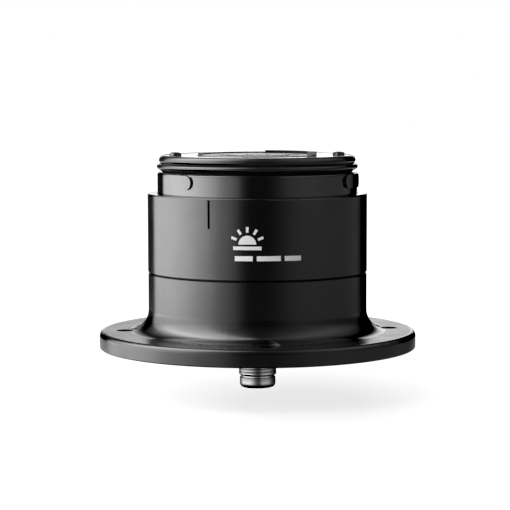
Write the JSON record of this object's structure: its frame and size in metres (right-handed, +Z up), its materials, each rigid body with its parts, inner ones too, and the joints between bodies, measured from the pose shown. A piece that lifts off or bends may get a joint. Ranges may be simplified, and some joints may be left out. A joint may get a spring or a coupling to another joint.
{
  "type": "signal tower base",
  "caption": "Flange-mounted base and connection module of a modular signal tower, with a round plug below and a bayonet collar with sprung contacts on top.",
  "frame": {"origin": "centre of the flange's underside, on the tower axis", "axes": "+Z up the tower axis, away from the surface it is bolted to; -Y towards the printed front"},
  "size_m": [0.1012, 0.1012, 0.0757],
  "materials": {
    "shell_plastic": "fine satin moulded plastic",
    "collar_plastic": "smooth moulded plastic",
    "seal_rubber": "smooth rubber with a slight sheen",
    "print_white": "matt printed ink",
    "key_plastic": "fine matt moulded plastic",
    "nickel": "nickel-plated, turned",
    "core_plastic": "fine matt moulded plastic",
    "contact_gold": "gold-plated",
    "board_laminate": "solder mask over glass laminate",
    "board_tracks": "gold-plated copper",
    "screw_steel": "zinc-plated",
    "spring_steel": "drawn wire",
    "wire_sleeve": "smooth insulation",
    "diode_plastic": "moulded case"
  },
  "bodies": {
    "mounting_base": {"flange_base": "shell_plastic", "flange_seal": "seal_rubber", "lower_collar": "collar_plastic", "lower_lip_seal": "seal_rubber", "ring_board": "board_laminate", "ring_tracks": "board_tracks", "ring_board_screws": "screw_steel", "plug_shell": "nickel", "plug_insert": "core_plastic", "plug_pins": "contact_gold", "plug_seal": "seal_rubber", "plug_lock_ring": "nickel", "wire_set": "wire_sleeve"},
    "connection_module": {"upper_shell": "shell_plastic", "front_print": "print_white", "upper_collar": "collar_plastic", "upper_lip_seal": "seal_rubber", "main_board": "board_laminate", "board_screws": "screw_steel", "sliding_contacts": "contact_gold", "suppressor_diodes": "diode_plastic", "contact_carrier": "collar_plastic", "carrier_screws": "screw_steel", "coding_key": "key_plastic", "pin_retainer": "core_plastic", "retainer_screw": "screw_steel", "terminal_pins": "contact_gold", "contact_spring_1": "spring_steel", "contact_spring_2": "spring_steel", "contact_spring_3": "spring_steel", "contact_spring_4": "spring_steel", "contact_spring_5": "spring_steel"},
    "sprung_contact_1": {"contact_pin_1": "contact_gold"},
    "sprung_contact_2": {"contact_pin_2": "contact_gold"},
    "sprung_contact_3": {"contact_pin_3": "contact_gold"},
    "sprung_contact_4": {"contact_pin_4": "contact_gold"},
    "sprung_contact_5": {"contact_pin_5": "contact_gold"}
  },
  "joints": [
    {"name": "twist_lock", "type": "hinge", "parent": "mounting_base", "child": "connection_module", "pos_m": [0, 0, 0.0243], "axis": [0, 0, 1], "range_deg": [0, 30]},
    {"name": "contact_press_1", "type": "slide", "parent": "connection_module", "child": "sprung_contact_1", "axis": [0, 0, 1], "range_m": [-0.0012, 0], "stiffness_N_per_m": 300, "springref_m": 0.0008, "deforming": ["contact_spring_1"]},
    {"name": "contact_press_2", "type": "slide", "parent": "connection_module", "child": "sprung_contact_2", "axis": [0, 0, 1], "range_m": [-0.0012, 0], "stiffness_N_per_m": 300, "springref_m": 0.0008, "deforming": ["contact_spring_2"]},
    {"name": "contact_press_3", "type": "slide", "parent": "connection_module", "child": "sprung_contact_3", "axis": [0, 0, 1], "range_m": [-0.0012, 0], "stiffness_N_per_m": 300, "springref_m": 0.0008, "deforming": ["contact_spring_3"]},
    {"name": "contact_press_4", "type": "slide", "parent": "connection_module", "child": "sprung_contact_4", "axis": [0, 0, 1], "range_m": [-0.0012, 0], "stiffness_N_per_m": 300, "springref_m": 0.0008, "deforming": ["contact_spring_4"]},
    {"name": "contact_press_5", "type": "slide", "parent": "connection_module", "child": "sprung_contact_5", "axis": [0, 0, 1], "range_m": [-0.0012, 0], "stiffness_N_per_m": 300, "springref_m": 0.0008, "deforming": ["contact_spring_5"]}
  ]
}
